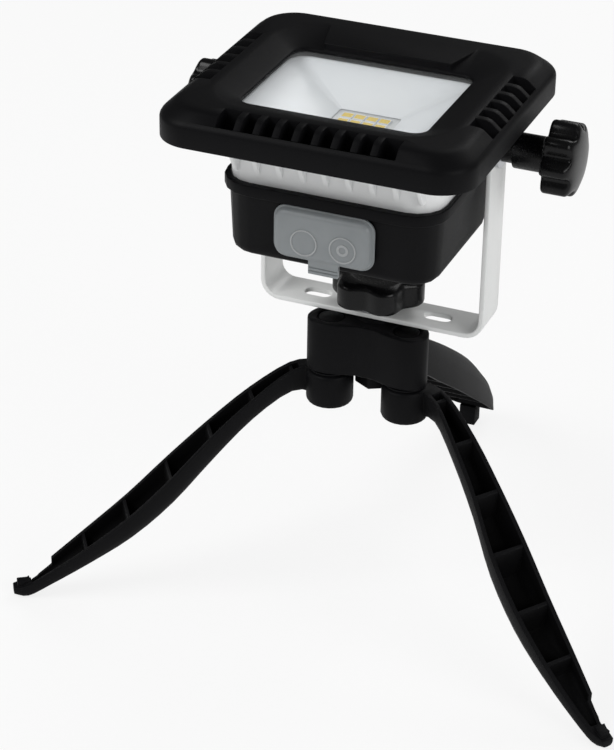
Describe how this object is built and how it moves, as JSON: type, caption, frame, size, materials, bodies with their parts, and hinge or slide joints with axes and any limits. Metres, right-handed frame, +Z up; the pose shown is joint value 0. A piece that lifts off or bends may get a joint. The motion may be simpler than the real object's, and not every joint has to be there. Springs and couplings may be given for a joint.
{
  "type": "work light",
  "caption": "Rechargeable flood work light: square vented frame over a finned heat sink and battery case, tilting in a U bracket on a folding tripod stand with lobed clamp knobs.",
  "frame": {"origin": "on the floor under the middle of the object's bounding box", "axes": "+Z up, -Y is the side with the charging flap, +X to the right seen from that side"},
  "size_m": [0.243, 0.2068, 0.2192],
  "materials": {
    "moulded_black": "fine grain, satin",
    "knob_black": "smooth satin",
    "white_paint": "white powder coat",
    "cast_white": "white paint on die casting",
    "window_glass": "clear, polished",
    "reflector_white": "white, satin",
    "seal_rubber": "matt",
    "grey_silicone": "translucent grey, matt",
    "zinc_steel": "zinc plated",
    "black_steel": "black oxide, satin",
    "brass": "turned",
    "nylon": "natural nylon",
    "diode_board": "white solder mask with yellow diodes",
    "circuit_board": "green solder mask",
    "cell_sleeve": "blue shrink sleeve",
    "lead_red": "insulated wire"
  },
  "bodies": {
    "stand": {"hub": "moulded_black", "hub_bolt": "zinc_steel", "leg_pin_left": "black_steel", "leg_pin_right": "black_steel", "leg_pin_rear": "black_steel", "leg_washer_left": "moulded_black", "leg_washer_right": "moulded_black", "leg_washer_rear": "moulded_black"},
    "left_leg": {"leg_left": "moulded_black"},
    "right_leg": {"leg_right": "moulded_black"},
    "rear_leg": {"leg_rear": "moulded_black"},
    "bracket": {"u_bracket": "white_paint", "clamp_washer": "zinc_steel", "tilt_washer_left": "zinc_steel", "tilt_washer_right": "zinc_steel"},
    "clamp": {"clamp_knob": "knob_black"},
    "left_knob": {"tilt_knob_left": "knob_black", "tilt_stud_left": "zinc_steel"},
    "right_knob": {"tilt_knob_right": "knob_black", "tilt_stud_right": "zinc_steel"},
    "flap": {"port_cover": "grey_silicone"},
    "button": {"power_button": "grey_silicone"},
    "head": {"front_bezel": "moulded_black", "rear_cover": "moulded_black", "charging_jack": "knob_black", "switch_body": "knob_black", "heat_sink": "cast_white", "glass_lens": "window_glass", "reflector": "reflector_white", "lens_gasket": "seal_rubber", "rear_gasket": "seal_rubber", "led_lead_black": "seal_rubber", "bezel_screw_1": "zinc_steel", "bezel_screw_2": "zinc_steel", "bezel_screw_3": "zinc_steel", "bezel_screw_4": "zinc_steel", "cover_screw_1": "zinc_steel", "cover_screw_2": "zinc_steel", "cover_screw_3": "zinc_steel", "cover_screw_4": "zinc_steel", "led_board_screw_1": "zinc_steel", "led_board_screw_2": "zinc_steel", "pivot_insert_left": "brass", "pivot_insert_right": "brass", "friction_washer_left": "nylon", "friction_washer_right": "nylon", "battery_cradle": "nylon", "led_board": "diode_board", "control_board": "circuit_board", "battery_cell_front": "cell_sleeve", "battery_cell_rear": "cell_sleeve", "led_lead_red": "lead_red"}
  },
  "joints": [
    {"name": "left_leg_fold", "type": "hinge", "parent": "stand", "child": "left_leg", "pos_m": [-0.01516, -0.03524, 0.093], "axis": [0, 0, 1], "range_deg": [-100, 0]},
    {"name": "right_leg_fold", "type": "hinge", "parent": "stand", "child": "right_leg", "pos_m": [0.01516, -0.03524, 0.093], "axis": [0, 0, 1], "range_deg": [0, 100]},
    {"name": "rear_leg_swing", "type": "hinge", "parent": "stand", "child": "rear_leg", "pos_m": [0, -0.00899, 0.093], "axis": [0, 0, 1], "range_deg": [-20, 20]},
    {"name": "bracket_turn", "type": "hinge", "parent": "stand", "child": "bracket", "pos_m": [0, -0.02649, 0.1169], "axis": [0, 0, 1], "continuous": true},
    {"name": "clamp_turn", "type": "hinge", "parent": "stand", "child": "clamp", "pos_m": [0, -0.02649, 0.1205], "axis": [0, 0, 1], "continuous": true},
    {"name": "head_tilt", "type": "hinge", "parent": "bracket", "child": "head", "pos_m": [0, -0.02649, 0.1915], "axis": [1, 0, 0], "range_deg": [-95, 35]},
    {"name": "left_knob_turn", "type": "hinge", "parent": "head", "child": "left_knob", "pos_m": [-0.046, -0.02649, 0.1915], "axis": [-1, 0, 0], "continuous": true},
    {"name": "right_knob_turn", "type": "hinge", "parent": "head", "child": "right_knob", "pos_m": [0.046, -0.02649, 0.1915], "axis": [1, 0, 0], "continuous": true},
    {"name": "flap_open", "type": "hinge", "parent": "head", "child": "flap", "pos_m": [0, -0.08269, 0.1594], "axis": [1, 0, 0], "range_deg": [0, 100]},
    {"name": "button_press", "type": "slide", "parent": "head", "child": "button", "axis": [0, 1, 0], "range_m": [0, 0.0012], "stiffness_N_per_m": 600}
  ]
}
